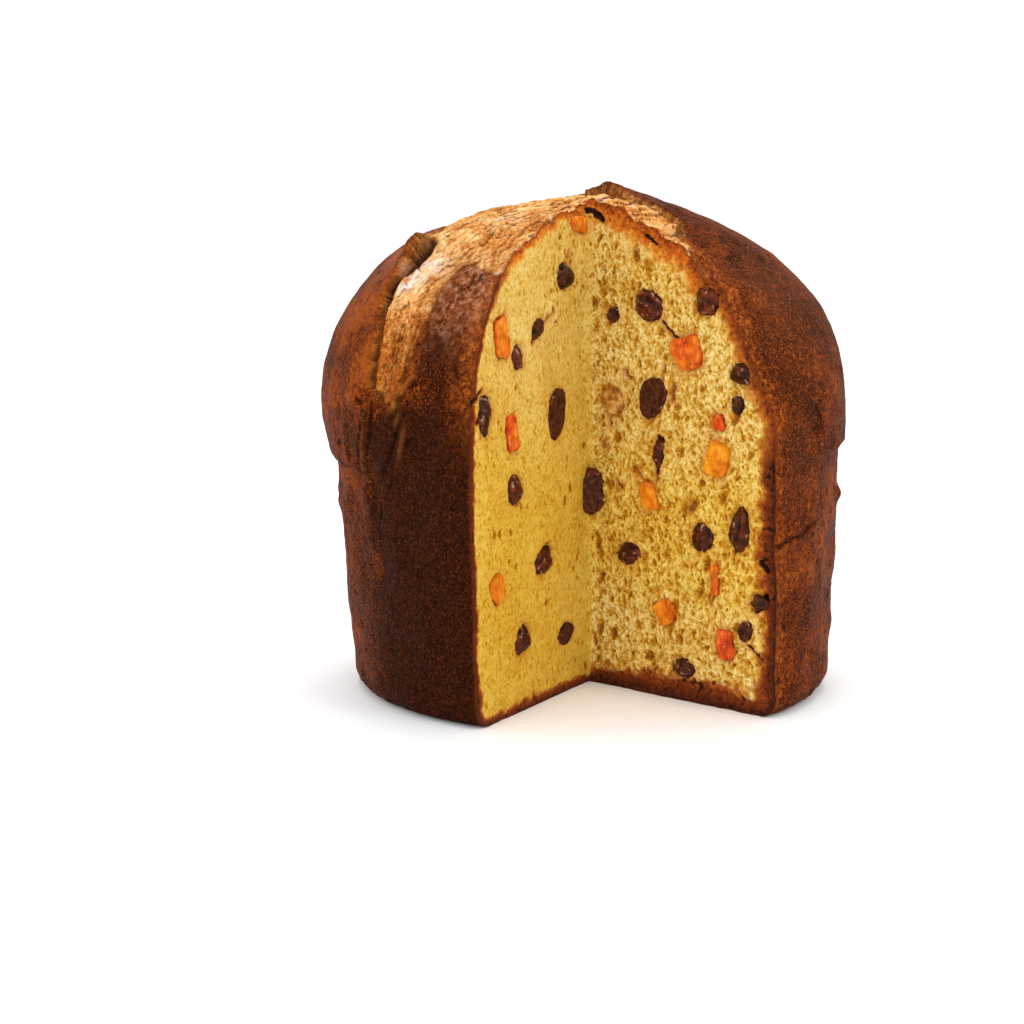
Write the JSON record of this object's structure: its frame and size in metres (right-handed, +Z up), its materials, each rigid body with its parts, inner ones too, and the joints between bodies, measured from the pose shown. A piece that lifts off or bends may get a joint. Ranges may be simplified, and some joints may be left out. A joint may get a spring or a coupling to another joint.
{
  "type": "panettone",
  "caption": "Tall domed sweet bread with a wedge cut out, showing yellow crumb with raisins and candied peel and a dark baked crust",
  "frame": {"origin": "centre of the flat underside, on the loaf's upright axis, 4 mm behind the line where the two cut faces meet", "axes": "+Z up; the wedge-shaped cut-out opens towards -Y; +X is to the right when looking into the cut-out from the front"},
  "size_m": [0.1656, 0.1462, 0.1563],
  "materials": {
    "bread": "matte",
    "raisin": "satin",
    "sultana": "satin",
    "candied_peel": "satin"
  },
  "bodies": {
    "root": {"loaf": "bread", "raisin_left_1": "raisin", "raisin_left_2": "raisin", "peel_left_1": "candied_peel", "raisin_left_3": "raisin", "raisin_left_4": "raisin", "raisin_left_5": "raisin", "peel_left_2": "candied_peel", "raisin_left_6": "raisin", "peel_left_3": "candied_peel", "raisin_left_7": "raisin", "peel_left_4": "candied_peel", "raisin_left_8": "raisin", "raisin_left_9": "raisin", "raisin_right_1": "raisin", "raisin_right_2": "raisin", "peel_right_1": "candied_peel", "raisin_right_3": "raisin", "sultana_right_1": "sultana", "raisin_right_4": "raisin", "raisin_right_5": "raisin", "raisin_right_6": "raisin", "peel_right_2": "candied_peel", "peel_right_3": "candied_peel", "raisin_right_7": "raisin", "raisin_right_8": "raisin", "raisin_right_9": "raisin", "raisin_right_10": "raisin", "peel_right_4": "candied_peel", "peel_right_5": "candied_peel", "raisin_right_11": "raisin", "raisin_right_12": "raisin", "peel_right_6": "candied_peel", "raisin_right_13": "raisin", "peel_right_7": "candied_peel", "raisin_corner": "raisin"}
  },
  "joints": []
}
